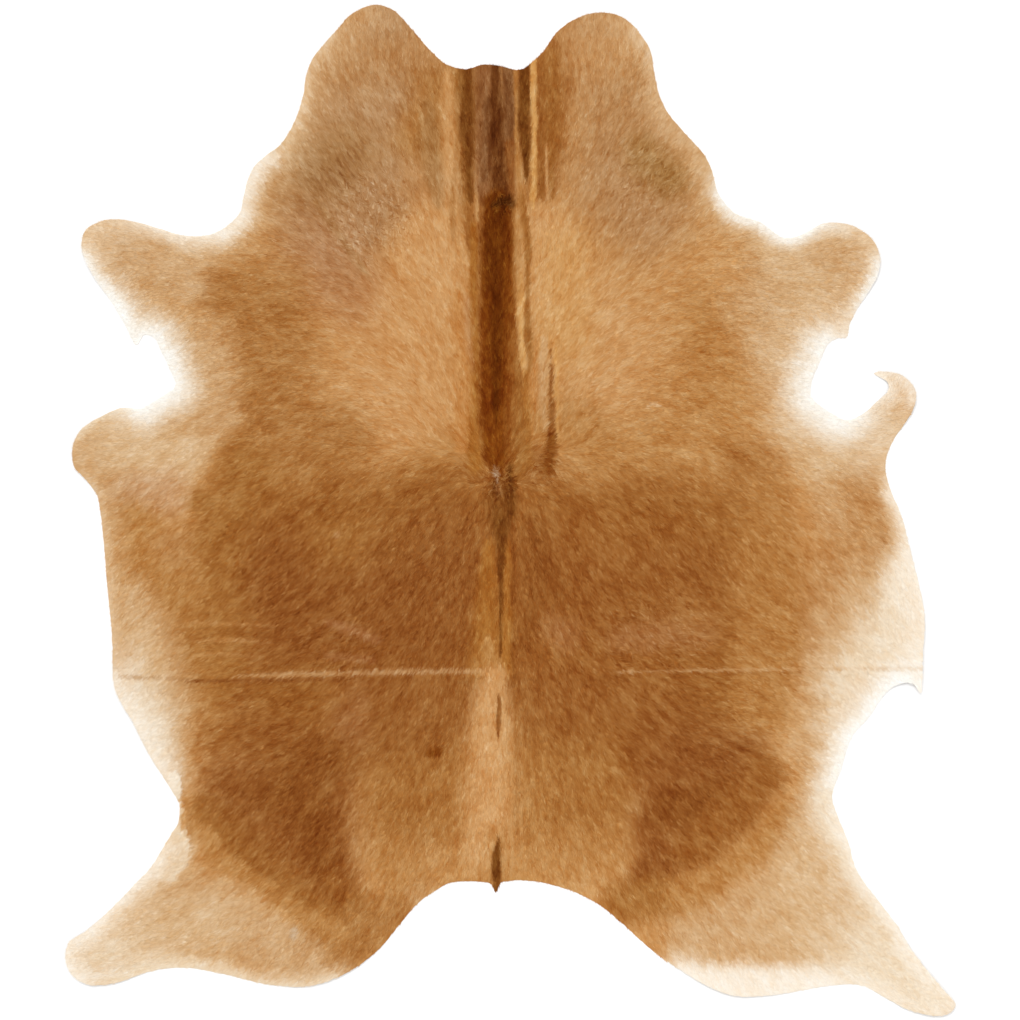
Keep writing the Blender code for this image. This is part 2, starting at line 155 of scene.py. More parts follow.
# Soft patches, from the first one laid to the last: name, colour, strength, softness, and
# the brush's path, as places with the brush's radius there.
PATCHES = [
    # the neck and the cheeks
    ("left cheek", "camel", 1.0, 0.5, [(380, 20, 80), (370, 150, 80), (340, 215, 62)]),
    ("left crown", "sand", 0.6, 0.9, [(415, 55, 22), (350, 60, 30)]),
    ("left nape", "ochre", 0.9, 0.7, [(432, 92, 22), (422, 140, 28)]),
    ("left nape brown", "deep ochre", 0.85, 0.8, [(464, 84, 20), (450, 136, 26)]),
    ("left neck light", "caramel", 0.4, 0.8, [(420, 190, 24)]),
    ("left jowl", "dull camel", 0.7, 0.9, [(322, 165, 34), (352, 150, 26)]),
    ("left jowl hatch", "olive", 0.2, 0.9, [(325, 172, 26)]),
    ("right cheek", "camel", 0.6, 0.6, [(600, 20, 60), (620, 110, 50), (650, 200, 50)]),
    ("right nape", "hazel", 0.95, 0.6, [(541, 55, 24), (541, 150, 22), (541, 185, 13)]),
    ("right crown", "caramel", 0.5, 0.8, [(590, 55, 24), (625, 50, 30)]),
    ("right jowl", "dull ochre", 0.8, 0.8, [(642, 160, 20), (666, 182, 20)]),
    ("right neck", "camel", 0.5, 0.8, [(600, 180, 40), (640, 225, 36)]),
    # the shoulders
    ("left shoulder", "caramel", 0.9, 0.6, [(428, 230, 26), (420, 290, 42), (390, 355, 52),
        (408, 425, 42)]),
    ("left shoulder side", "rose tan", 0.6, 0.8, [(320, 262, 40), (350, 290, 34)]),
    ("right shoulder", "caramel", 0.9, 0.6, [(542, 225, 24), (560, 290, 40), (600, 350, 58),
        (600, 385, 46)]),
    ("left ochre", "ochre", 0.9, 0.6, [(222, 292, 28), (262, 300, 42), (270, 350, 42), (268, 400, 46),
        (284, 440, 48), (338, 436, 32)]),
    ("right ochre", "pale ochre", 0.75, 0.8, [(705, 320, 30), (712, 385, 40), (700, 445, 48),
        (600, 455, 26)]),
    ("right shoulder low", "pale ochre", 0.8, 0.8, [(545, 425, 30), (585, 428, 26)]),
    ("right shoulder gold", "honey", 0.5, 0.9, [(562, 250, 22), (566, 340, 26)]),
    ("left shoulder low", "pale ochre", 0.7, 0.8, [(420, 470, 26), (455, 455, 24)]),
    # the forelegs and the flaps
    ("left foreleg", "tan", 0.95, 0.6, [(100, 240, 34), (170, 260, 38), (184, 284, 28)]),
    ("left armpit side", "tan", 0.8, 0.7, [(205, 345, 26), (212, 420, 24)]),
    ("right foreleg", "tan", 0.9, 0.6, [(860, 245, 34), (800, 262, 44), (772, 310, 40),
        (775, 350, 34)]),
    ("right foreleg pale", "pale tan", 0.8, 0.8, [(782, 262, 26), (815, 300, 30), (790, 350, 26)]),
    ("left flap", "pale tan", 0.95, 0.6, [(95, 445, 36), (150, 448, 36), (182, 452, 28)]),
    ("left flap end", "tan", 0.7, 0.8, [(82, 450, 18), (88, 475, 18)]),
    ("right flap", "pale tan", 0.95, 0.6, [(812, 435, 38), (855, 462, 34), (890, 440, 26)]),
    # the sides
    ("left side", "pale ochre", 0.95, 0.6, [(120, 505, 28), (140, 545, 36), (146, 600, 40),
        (190, 690, 26)]),
    ("left side spot", "tan", 0.5, 0.8, [(178, 548, 18)]),
    ("left side pale", "flax", 0.6, 0.8, [(120, 488, 16), (166, 492, 22)]),
    ("left side deep", "deep ochre", 0.9, 0.7, [(246, 470, 28), (234, 520, 34), (200, 505, 14)]),
    ("right side", "ochre", 0.9, 0.6, [(744, 476, 34), (758, 560, 38), (760, 640, 38), (752, 705, 30)]),
    ("right outer side", "sand", 0.95, 0.6, [(866, 500, 34), (856, 545, 40), (830, 600, 34),
        (812, 640, 26)]),
    ("right outer pale", "tan", 0.6, 0.8, [(826, 488, 16), (832, 515, 13)]),
    # the body and the rump
    ("around the body", "deep ochre", 0.95, 0.3, [(320, 615, 140), (660, 615, 130)]),
    ("body", "hazel", 0.95, 0.25, [(345, 600, 118), (640, 600, 120)]),
    ("left body", "brown", 0.8, 0.6, [(275, 575, 46), (300, 610, 60), (420, 608, 62), (450, 560, 50)]),
    ("left body light", "deep ochre", 0.7, 0.8, [(345, 540, 30)]),
    ("right body", "chestnut", 0.75, 0.6, [(540, 570, 50), (590, 600, 50), (690, 580, 40)]),
    ("right body dark", "russet", 0.6, 0.8, [(534, 530, 14), (540, 585, 20), (530, 640, 12)]),
    ("lower body", "chestnut", 0.8, 0.5, [(290, 720, 56), (400, 715, 52), (590, 710, 56),
        (670, 730, 50)]),
    ("left body olive", "pale ochre", 0.35, 0.9, [(215, 600, 26), (215, 690, 30)]),
    ("right body olive", "pale ochre", 0.35, 0.9, [(765, 620, 26), (760, 700, 26)]),
    ("above the left haunch", "chestnut", 0.5, 0.8, [(250, 720, 30), (290, 740, 30), (420, 700, 26)]),
    ("left pink", "rose tan", 0.35, 0.9, [(345, 700, 20), (350, 725, 18)]),
    ("right pink", "rose tan", 0.4, 0.9, [(564, 632, 16)]),
    ("right far pink", "rose tan", 0.4, 0.9, [(625, 636, 14), (702, 636, 16)]),
    ("left lower side", "tan", 0.9, 0.7, [(136, 600, 20), (150, 640, 26), (162, 700, 32),
        (166, 740, 26), (172, 785, 10)]),
    ("left belly side", "pale tan", 0.7, 0.8, [(136, 630, 16), (142, 665, 20)]),
    ("left belly pale", "oat", 0.85, 0.8, [(122, 672, 22), (136, 708, 32), (150, 750, 24)]),
    ("right lower side", "tan", 0.95, 0.8, [(888, 556, 16), (868, 604, 28), (846, 660, 36),
        (826, 705, 30), (812, 752, 20)]),
    ("right outer tan", "tan", 0.5, 0.8, [(852, 580, 18), (836, 640, 18)]),
    # painted light on the slope beside the cross crease
    ("left body crease painted light", "deep ochre", 0.6, 0.8, [(270, 692, 20), (325, 694, 24)]),
    ("left belly ochre", "deep ochre", 0.6, 0.8, [(226, 560, 24), (228, 640, 20), (224, 690, 10)]),
    ("left flank deep", "hazel", 0.6, 0.8, [(216, 738, 18)]),
    ("right belly ochre", "pale ochre", 0.6, 0.45, [(764, 505, 22), (766, 560, 32), (766, 640, 34),
        (760, 704, 26)]),
    ("right body light", "ochre", 0.5, 0.8, [(700, 620, 22)]),
    ("rump", "deep ochre", 0.8, 0.6, [(410, 800, 50), (590, 790, 56)]),
    ("left haunch base", "deep ochre", 0.95, 0.5, [(212, 812, 18), (242, 838, 26), (285, 866, 26),
        (325, 900, 24), (365, 930, 24)]),
    ("left haunch", "brown", 0.95, 0.75, [(238, 788, 34), (275, 808, 44), (302, 826, 46),
        (318, 850, 36), (332, 876, 22)]),
    ("left haunch middle", "russet", 0.8, 0.9, [(285, 790, 26), (318, 770, 32), (308, 812, 22),
        (324, 866, 16)]),
    ("left haunch tail", "hazel", 0.8, 0.8, [(332, 882, 14), (352, 908, 15), (374, 930, 15)]),
    ("right haunch", "brown", 0.95, 0.65, [(740, 764, 32), (692, 774, 54), (674, 840, 38),
        (652, 880, 22)]),
    ("right haunch dark", "russet", 0.8, 0.8, [(672, 806, 20), (722, 804, 20)]),
    ("right haunch side", "hazel", 0.9, 0.7, [(762, 772, 18), (736, 812, 20), (690, 852, 20)]),
    ("left rump low", "pale ochre", 0.8, 0.7, [(392, 858, 24), (412, 890, 28)]),
    ("left rump edge", "tan", 0.8, 0.9, [(430, 905, 18)]),
    ("right rump low", "pale ochre", 0.6, 0.7, [(560, 860, 30), (605, 850, 28)]),
    ("around the rump band", "pale ochre", 0.8, 0.8, [(495, 720, 16), (495, 780, 40), (495, 850, 50)]),
    # the hind legs
    ("left haunch foot", "ochre", 0.95, 0.7, [(320, 945, 26), (345, 945, 30), (392, 928, 28)]),
    ("right haunch foot", "deep ochre", 0.9, 0.7, [(625, 905, 22), (665, 900, 22)]),
    ("left thigh", "pale ochre", 0.9, 0.7, [(199, 836, 11), (210, 856, 10), (233, 870, 8),
        (262, 886, 9), (302, 911, 10), (334, 935, 12)]),
    ("left hind leg", "tan", 0.95, 0.5, [(300, 960, 24), (230, 919, 31), (192, 901, 29),
        (150, 930, 44)]),
    ("left shin", "pale tan", 0.9, 0.8, [(200, 930, 34), (130, 945, 56)]),
    ("left leg end", "oat", 0.95, 0.8, [(85, 962, 52)]),
    ("left groin", "oat", 0.95, 0.15, [(172, 784, 9), (173, 812, 13), (171, 835, 17), (168, 858, 20)]),
    ("right thigh", "pale ochre", 0.9, 0.7, [(785, 815, 16), (757, 846, 17), (722, 872, 17),
        (690, 900, 20)]),
    ("right hind leg", "tan", 0.95, 0.5, [(695, 945, 30), (745, 928, 38), (795, 890, 36),
        (812, 930, 46)]),
    ("right thigh pale", "tan", 0.8, 0.8, [(810, 786, 12), (800, 822, 15), (782, 850, 12)]),
    ("right shin", "pale tan", 0.9, 0.8, [(810, 850, 24), (800, 930, 44), (840, 950, 50)]),
    ("right leg end", "oat", 0.95, 0.8, [(880, 965, 50), (915, 990, 50)]),
    ("right leg band", "cream", 0.95, 0.28, [(680, 1002, 36), (780, 1002, 37), (850, 1006, 34)]),
    ("right belly pale", "oat", 0.95, 0.8, [(906, 575, 20), (894, 635, 38), (866, 684, 40),
        (848, 725, 30), (840, 766, 22)]),
]

# Where the coat pales towards the rim: name, colour, strength, how deep in pixels, and the
# stretch of the rim, as a brush's path.
RIM_FADES = [
    ("left cheek", "tan", 0.85, 50, [(318, 60, 44), (345, 20, 22)]),
    ("left cheek edge", "buff", 0.7, 16, [(302, 120, 30), (318, 60, 24)]),
    ("left cheek point", "buff", 0.9, 22, [(297, 105, 20)]),
    ("left neck", "pale tan", 0.9, 50, [(268, 175, 18), (258, 195, 40), (248, 228, 40)]),
    ("left neck edge", "cream", 0.95, 28, [(264, 184, 20), (256, 200, 30), (248, 228, 30)]),
    ("left foreleg top", "cream", 0.9, 22, [(240, 240, 22), (190, 235, 22), (140, 225, 22)]),
    ("left foreleg end", "buff", 0.9, 26, [(88, 232, 26), (80, 250, 26)]),
    ("left foreleg under", "buff", 0.95, 50, [(84, 258, 20), (100, 285, 30), (130, 330, 36)]),
    ("left foreleg edge", "ivory", 0.9, 20, [(84, 268, 12), (100, 290, 26), (130, 330, 30)]),
    ("left armpit side", "pale tan", 0.9, 64, [(172, 330, 20), (192, 365, 34), (170, 400, 36)]),
    ("left armpit lower", "buff", 0.8, 44, [(150, 405, 24), (185, 412, 22)]),
    ("left armpit", "ivory", 0.95, 40, [(140, 335, 30), (182, 360, 30), (168, 392, 24),
        (140, 396, 10)]),
    ("left flap edge", "oat", 0.8, 14, [(100, 408, 20), (80, 425, 14)]),
    ("left side", "tan", 0.9, 40, [(96, 490, 30), (105, 560, 40), (112, 620, 40)]),
    ("left side edge", "buff", 0.7, 14, [(100, 500, 24), (108, 560, 24), (112, 620, 24)]),
    ("left belly edge", "cream", 0.85, 44, [(112, 700, 20), (128, 722, 32), (150, 752, 24)]),
    ("left leg top", "buff", 0.9, 50, [(160, 872, 20), (140, 890, 36), (85, 940, 40)]),
    ("left leg top edge", "cream", 0.9, 24, [(158, 870, 20), (130, 895, 34), (75, 945, 30)]),
    ("left leg end", "cream", 0.4, 30, [(68, 955, 30), (100, 985, 16)]),
    ("left leg under", "oat", 0.9, 24, [(150, 975, 26), (240, 985, 30), (310, 985, 26)]),
    ("right cheek", "tan", 0.9, 34, [(648, 40, 26), (660, 100, 40)]),
    ("right cheek edge", "buff", 0.6, 18, [(650, 40, 20), (665, 100, 40)]),
    ("right neck", "tan", 0.8, 26, [(665, 115, 20), (690, 150, 26), (715, 190, 26)]),
    ("right foreleg top", "pale tan", 0.9, 40, [(730, 215, 34), (785, 236, 40), (830, 225, 20)]),
    ("right foreleg top edge", "ivory", 0.9, 20, [(735, 215, 26), (785, 236, 30), (830, 225, 20)]),
    ("right foreleg end", "buff", 0.9, 26, [(875, 240, 30)]),
    ("right foreleg under", "buff", 0.95, 46, [(880, 275, 16), (850, 325, 34), (815, 370, 16)]),
    ("right foreleg edge", "ivory", 0.95, 18, [(880, 275, 14), (850, 325, 24), (815, 370, 22)]),
    ("right armpit side", "buff", 0.9, 76, [(802, 360, 24), (802, 392, 26)]),
    ("right armpit lower", "buff", 0.7, 50, [(820, 425, 20), (860, 430, 20)]),
    ("right armpit", "ivory", 0.9, 46, [(806, 372, 26), (808, 402, 34), (838, 410, 14)]),
    ("right flap", "cream", 0.85, 28, [(876, 380, 14), (902, 382, 16)]),
    ("right side", "buff", 0.9, 26, [(900, 480, 20), (910, 540, 30)]),
    ("right side edge", "cream", 0.8, 16, [(898, 500, 16), (910, 540, 24)]),
    ("right belly edge", "cream", 0.95, 50, [(925, 600, 34), (918, 650, 44), (890, 695, 36)]),
    ("right groin side", "buff", 0.95, 52, [(850, 720, 30), (838, 755, 44), (838, 820, 30)]),
    ("right groin", "ivory", 0.97, 34, [(875, 695, 30), (845, 745, 36), (838, 800, 30)]),
    ("right leg outside", "oat", 0.95, 46, [(838, 830, 24), (862, 890, 40), (905, 955, 40)]),
    ("right leg edge", "cream", 0.9, 20, [(838, 830, 20), (862, 890, 30), (905, 955, 30)]),
    ("right leg end", "cream", 0.6, 30, [(930, 985, 36), (945, 1008, 30)]),
    ("right leg under", "cream", 0.9, 34, [(700, 1000, 30), (770, 1000, 36), (820, 1005, 30)]),
]

# Straight marks along the spine and the creases, in the same form. Along the pleats, folds and creases
# many of them are painted shade in the hollows and painted highlights on the crests, each marked below.
LINES = [
    # the nape
    # painted shade in the small groove beside the left outer pleat
    ("left outer painted shade", "dull camel", 0.7, 0.9, [(428, 105, 5), (430, 140, 10), (434, 175, 9),
        (438, 205, 4)]),
    # painted highlight along the crest of the left pleat
    ("left pleat painted highlight", "caramel", 0.8, 0.9, [(448, 75, 4), (449, 110, 9), (450, 150, 9),
        (449, 178, 4)]),
    # painted shade in the left pleat's thin crease
    ("left pleat crease painted shade", "ochre", 0.7, 0.8, [(453, 170, 1), (453, 205, 2.5), (453, 240, 1)]),
    # painted shade in the lower part of the left groove
    ("left groove foot painted shade", "hazel", 0.95, 0.7, [(467, 150, 6), (468, 200, 6.5), (470, 235, 5),
        (473, 262, 2)]),
    # painted shade in the left groove beside the spine pleat
    ("left groove", "umber", 0.85, 0.6, [(467, 58, 6.5), (467, 120, 7.5), (469, 165, 5.5),
        (470, 200, 3)]),
    ("nape grey", "drab", 0.95, 0.6, [(485, 58, 10), (485, 130, 10), (484, 185, 8), (485, 203, 5)]),
    ("nape grey right", "cocoa", 0.9, 0.6, [(508, 58, 7), (508, 110, 7), (509, 150, 6)]),
    ("nape ochre", "brown", 0.9, 0.6, [(510, 145, 5), (510, 175, 6), (510, 200, 5)]),
    ("nape core left", "cocoa", 0.8, 0.8, [(488, 100, 4), (486, 150, 6), (484, 180, 3)]),
    ("nape core", "mahogany", 0.95, 0.6, [(495, 58, 3.5), (496, 100, 5), (496, 140, 7.5), (499, 180, 8),
        (501, 205, 9)]),
    ("gold edge", "pale ochre", 0.9, 0.7, [(515.5, 70, 1.5), (516, 110, 2.2), (517, 150, 2),
        (520, 190, 1.5)]),
    # painted shade in the right groove beside the spine pleat
    ("right groove", "umber", 0.95, 0.5, [(524, 58, 5.5), (524, 120, 6), (525, 150, 4.5),
        (527, 180, 1.5)]),
    # painted highlight along the right pleat's crest
    ("right pleat painted highlight", "honey", 0.95, 0.6, [(534, 52, 3.2), (534, 120, 3.5), (534, 170, 3.5),
        (532, 208, 2)]),
    # painted shade beside the low ridge on the right of the nape
    ("right outer broad painted shade", "deep ochre", 0.7, 0.8, [(551, 58, 8), (552, 130, 9), (552, 160, 5)]),
    # painted shade in the hollow between the right pleat and the outer roll
    ("right outer hollow painted shade", "hazel", 0.8, 0.7, [(541, 60, 2.5), (541, 130, 3), (541, 198, 2)]),
    # painted highlight along the crest of the right outer roll
    ("right outer roll painted highlight", "caramel", 0.8, 0.6, [(546.5, 145, 1.5), (546.5, 198, 1.8)]),
    # painted shade beside the right outer roll
    ("right outer roll painted shade", "deep ochre", 0.7, 0.7, [(551.5, 150, 1.8), (552, 200, 1.5)]),
    ("stripe foot", "chestnut", 0.75, 0.9, [(478, 464, 14), (505, 462, 24), (536, 466, 16)]),
    # the stripe down to the whorl
    ("stripe edge", "amber", 0.9, 0.7, [(474, 225, 3), (474, 300, 4), (474, 380, 6), (473, 430, 8),
        (476, 466, 8)]),
    ("stripe right", "cinnamon", 0.95, 0.5, [(510, 206, 5), (509, 260, 6), (510, 330, 7),
        (512, 375, 10), (515, 420, 11), (516, 465, 10), (512, 484, 6)]),
    ("stripe", "sienna", 0.97, 0.4, [(496, 205, 14), (496, 240, 17), (495, 300, 16), (493, 350, 14.5),
        (493, 420, 14), (495, 455, 12), (498, 476, 5)]),
    ("stripe core", "dark sienna", 0.85, 0.9, [(498, 205, 10), (495, 240, 11), (495, 290, 9),
        (496, 340, 7), (496, 380, 4.5), (496, 425, 1.5)]),
    ("stripe shine", "sienna", 0.6, 0.9, [(488, 295, 3), (485, 325, 4)]),
    ("nape mark", "bister", 0.95, 0.7, [(491, 207, 2), (499, 203, 4.5), (507, 201, 5.5),
        (512, 204, 4)]),
    ("left gold strip", "gold", 0.95, 0.8, [(457, 290, 3), (458, 315, 7), (461, 345, 8), (464, 385, 7),
        (462, 430, 7), (462, 450, 5)]),
    ("left pink strip", "rose tan", 0.4, 0.9, [(468, 300, 4), (470, 350, 4), (473, 372, 2)]),
    # painted highlight along the withers pleat
    ("withers pleat painted highlight", "honey", 0.8, 0.7, [(519, 275, 2), (520, 300, 3.5), (521, 350, 4),
        (522, 376, 2)]),
    ("right strip tint", "pale ochre", 0.7, 0.9, [(517, 205, 5), (518, 250, 4), (517, 300, 3)]),
    ("right gold", "gold", 0.9, 0.8, [(534, 340, 5), (534, 375, 6), (533, 405, 6)]),
    # painted shade in the crease beside the withers pleat
    ("withers crease painted shade", "deep ochre", 0.9, 0.8, [(522, 196, 4), (525, 225, 3.5), (528, 245, 3),
        (527, 300, 2.8), (528, 340, 3.6), (529, 372, 2)]),
    ("right gold strip", "amber", 0.7, 0.9, [(526, 372, 3), (526, 400, 4), (527, 440, 4),
        (528, 465, 5)]),
    ("right ochre", "deep ochre", 0.9, 0.8, [(517, 360, 2), (519, 400, 5), (521, 440, 7),
        (520, 470, 8)]),
    ("right pale strip", "tan", 0.6, 0.9, [(544, 340, 2), (543, 370, 4.5), (543, 410, 4.5),
        (545, 430, 2)]),
    # painted shade in the shoulder fold's crease
    ("fold", "chestnut", 0.9, 0.7, [(550.5, 350, 0.7), (551, 375, 1.7), (551.5, 410, 2.6),
        (551.5, 440, 4.5)]),
    # painted shade: the dark wedge in the hollow beside the shoulder fold
    ("fold wedge painted shade", "sienna", 0.7, 0.8, [(551, 437, 4), (550, 455, 7), (549, 468, 6.5)]),
    # painted highlight along the shoulder fold's crest
    ("fold crest painted highlight", "honey", 0.7, 0.8, [(556, 350, 1.5), (557, 400, 2.2), (558, 440, 1.5)]),
    # the whorl and the spine below it
    ("below whorl", "umber", 0.65, 0.9, [(497, 484, 7), (500, 505, 13), (501, 532, 8)]),
    ("whorl dark", "umber", 0.95, 0.7, [(509, 468, 3.5), (510, 488, 5.5), (512, 514, 4)]),
    ("whorl grey", "drab", 0.6, 0.8, [(498, 486, 4), (500, 494, 3)]),
    ("whorl light", "ash", 0.6, 0.9, [(494.5, 467, 1.6), (496.5, 475, 2.2), (498.5, 483, 1)]),
    ("gold band left", "amber", 0.85, 0.8, [(489, 545, 6), (488, 580, 9), (487, 620, 12),
        (487, 668, 14)]),
    ("gold band right", "amber", 0.8, 0.8, [(507, 545, 4), (507, 590, 5), (507, 670, 7)]),
    ("gold band foot", "pale ochre", 0.7, 0.9, [(489, 640, 5), (488, 670, 14)]),
    # painted shade along the spine's slight crease
    ("spine crease painted shade", "umber", 0.9, 0.8, [(502, 520, 7), (501, 545, 4.5), (501, 575, 2.5), (501, 610, 1.9),
        (500, 655, 1)]),
    ("rump spot", "sienna", 0.85, 0.7, [(431, 753, 4.5), (437, 752, 4.5)]),
    ("boundary line", "russet", 0.6, 0.8, [(513, 525, 1), (513, 580, 2), (513, 640, 2), (514, 690, 2)]),
    ("rump band", "caramel", 0.95, 0.7, [(495, 676, 11), (491, 700, 18), (490, 730, 22), (489, 780, 24),
        (489, 850, 26)]),
    ("rump band low", "pale ochre", 0.6, 0.9, [(500, 840, 14), (500, 880, 20)]),
    # painted shade along the rump's thin crease
    ("rump crease painted shade", "russet", 0.9, 0.7, [(499, 694, 0.8), (499, 714, 1.8), (499, 738, 0.8)]),
    # painted shade along the rump seam's crease
    ("rump seam", "ochre", 0.7, 0.8, [(517, 680, 2), (518, 720, 3), (517, 830, 2.5)]),
    ("tail shade", "ochre", 0.6, 0.9, [(499, 838, 2), (498, 862, 6), (497, 890, 8)]),
    ("tail", "umber", 0.97, 0.6, [(498, 838, 1), (496, 858, 3.6), (496, 898, 4)]),
    # the crease across the hide: painted highlights along its upper edge and painted shade along its
    # lower edge
    # painted shade along the cross crease's lower edge
    ("left crease painted shade", "brown", 0.9, 0.7, [(186, 681, 1.4), (250, 680.5, 2.2), (350, 679, 1.8)]),
    # painted highlight along the cross crease's upper edge
    ("left crease painted highlight", "tan", 0.65, 0.8, [(232, 676, 0.6), (270, 675, 2.2), (300, 674, 2.6),
        (400, 671.5, 2.2), (485, 671, 1.6)]),
    # painted shade where the cross crease starts on the left
    ("left crease painted shade start", "camel", 0.5, 0.8, [(120, 676, 1.2), (190, 680, 1.4)]),
    # painted highlights along the cross crease's upper edge on the right
    ("right crease painted highlight", "tan", 0.5, 0.7, [(610, 672, 0.8), (700, 670, 1.6), (840, 668.5, 1.5)]),
    ("right crease painted highlight end", "tan", 0.3, 0.8, [(830, 668.5, 1.2), (925, 668, 1.6)]),
    # painted shade along the cross crease's lower edge on the right
    ("right crease painted shade", "hazel", 0.5, 0.8, [(640, 675, 1), (720, 673.5, 1.5), (800, 672, 1)]),
    ("groin edge", "ochre", 0.6, 0.8, [(181, 772, 1), (186, 800, 1.8), (191, 838, 1.8), (194, 852, 1)]),
    # small marks in the coat
    ("left wisp", "caramel", 0.35, 0.8, [(186, 622, 1), (230, 624, 2), (275, 626, 1)]),
    ("left lower wisp", "caramel", 0.35, 0.8, [(190, 641, 1), (235, 640, 2.2), (270, 643, 1)]),
    ("left third wisp", "caramel", 0.3, 0.8, [(196, 655, 1), (225, 654, 2), (262, 657, 1)]),
    ("light streaks", "rose tan", 0.5, 0.9, [(328, 622, 3), (352, 630, 5), (378, 640, 4)]),
    ("light streaks low", "rose tan", 0.4, 0.9, [(330, 656, 4), (372, 660, 4)]),
    ("small light mark", "tan", 0.6, 0.9, [(338, 535, 3)]),
    ("light dashes", "buff", 0.6, 0.8, [(646, 408, 1.2), (653, 404, 1.6), (660, 406, 1)]),
    ("grey spot", "ash", 0.5, 0.8, [(293, 930, 4), (293, 936, 4)]),
    ("dark streak", "dull camel", 0.5, 0.9, [(315, 200, 3), (340, 236, 5), (368, 276, 3)]),
]

# Streaks: their length and width in pixels, how strongly they deepen the coat, and the seed.
STREAKS = [
    (70.0, 34.0, 0.040, 21),
    (26.0, 11.0, 0.085, 22),
    (9.0, 3.2, 0.160, 23),
]
STREAK_TURNS = 8
STREAK_FOCUS = 4
TURN_SEEDS = 100
# Dark hairs that stand out on the neck, partly dark hair and partly painted shade for the thin shadows
# between hairs in relief: where each starts, its run and its half width.
HATCH = [
    (316, 178), (320, 174), (325, 171), (329, 168), (334, 164), (338, 160), (343, 156),
    (347, 152), (352, 148), (356, 144), (361, 141), (333, 178), (340, 172), (347, 167),
]
HATCH_RUN = (8, 12)
HATCH_REACH = 0.9
HATCH_LOOK = ("drab", 0.45, 0.9)
# Waves along the patches' edges: their size in pixels, how far they go, and the seed.
WARPS = [
    (34.0, 6.0, 31),
    (9.0, 2.5, 33),
]
# The fray along a line's edge, in pixels.
FRAY_SIZE, FRAY_REACH, FRAY_STRETCH, FRAY_SEED = 3.0, 1.6, 5.0, 35
# Where a rim stretch's ends fade, in brush radii, how it widens with the fade's depth, and
# how far the waves move it.
RIM_ENDS = (0.6, 1.5)
RIM_WIDENING = 0.5
RIM_WANDER = 0.4
NOISE_SIZE = 256


def srgb(name):
    """A named colour of the coat, as three numbers from 0 to 1."""
    code = PALETTE[name]
    return np.array([int(code[i:i + 2], 16) / 255 for i in (0, 2, 4)])


def linear(colour):
    """The light that a displayed colour stands for."""
    return np.where(colour <= 0.04045, colour / 12.92, ((colour + 0.055) / 1.055) ** 2.4)


def smoothstep(low, high, value):
    """0 below the low value and 1 above the high one, with a smooth rise between."""
    share = np.clip((value - low) / (high - low), 0.0, 1.0)
    return share * share * (3 - 2 * share)


def noise(x, y, size, seed):
    """Smooth noise between -1 and 1 that changes over about one size."""
    lattice = np.random.default_rng(seed).uniform(-1, 1, (NOISE_SIZE, NOISE_SIZE))
    u, v = x / size, y / size
    i, j = np.floor(u).astype(int), np.floor(v).astype(int)
    f, g = u - i, v - j
    f, g = f * f * (3 - 2 * f), g * g * (3 - 2 * g)
    i0, j0 = i % NOISE_SIZE, j % NOISE_SIZE
    i1, j1 = (i0 + 1) % NOISE_SIZE, (j0 + 1) % NOISE_SIZE
    top = lattice[j0, i0] * (1 - f) + lattice[j0, i1] * f
    bottom = lattice[j1, i0] * (1 - f) + lattice[j1, i1] * f
    return top * (1 - g) + bottom * g


def brush_reach(x, y, path):
    """How far each place lies from a brush's path: 1 at the brush's own radius."""
    if len(path) == 1:
        px, py, radius = path[0]
        return np.hypot(x - px, y - py) / radius
    reach = np.full(x.shape, np.inf)
    for (ax, ay, ar), (bx, by, br) in zip(path, path[1:]):
        dx, dy = bx - ax, by - ay
        share = np.clip(((x - ax) * dx + (y - ay) * dy) / (dx * dx + dy * dy), 0, 1)
        away = np.hypot(x - ax - dx * share, y - ay - dy * share)
        reach = np.minimum(reach, away / (ar + (br - ar) * share))
    return reach


def lay(colour, x, y, strokes):
    """Lay a table's strokes over the colours of these places, in their order."""
    for _, name, strength, softness, path in strokes:
        reach = max(p[2] for p in path) * (1 + softness)
        near = (x > min(p[0] for p in path) - reach) & (x < max(p[0] for p in path) + reach)
        near &= (y > min(p[1] for p in path) - reach) & (y < max(p[1] for p in path) + reach)
        at = np.flatnonzero(near)
        cover = 1 - smoothstep(1 - softness, 1 + softness, brush_reach(x[at], y[at], path))
        cover = (strength * cover)[:, None]
        colour[at] = colour[at] * (1 - cover) + srgb(name) * cover


def fade_rim(colour, x, y, depth):
    """Lay the rim's fades over the colours of these places, by their depth inside it."""
    for _, name, strength, far, path in RIM_FADES:
        at = np.flatnonzero(depth < far)
        reach = brush_reach(x[at], y[at], path) * path_share(path, far)
        stretch = 1 - smoothstep(*RIM_ENDS, reach)
        cover = (strength * stretch * (1 - smoothstep(0.0, far, depth[at])))[:, None]
        colour[at] = colour[at] * (1 - cover) + srgb(name) * cover


def path_share(path, far):
    """Widens a rim stretch's brush so that it reaches over the fade's whole depth."""
    radius = sum(p[2] for p in path) / len(path)
    return radius / (radius + RIM_WIDENING * far)


def streaks(x, y, heading, length, width, seed):
    """Noise between about -1 and 1 that is drawn out along the way the hair points."""
    total, weight = np.zeros(len(x)), np.zeros(len(x))
    for turn in range(STREAK_TURNS):
        angle = math.pi * turn / STREAK_TURNS
        near = np.maximum(np.cos(2 * (heading - angle)), 0.0) ** STREAK_FOCUS
        along = x * math.cos(angle) - y * math.sin(angle)
        across = x * math.sin(angle) + y * math.cos(angle)
        total += near * noise(along * width / length, across, width, seed + TURN_SEEDS * turn)
        weight += near ** 2
    return total / np.sqrt(weight)


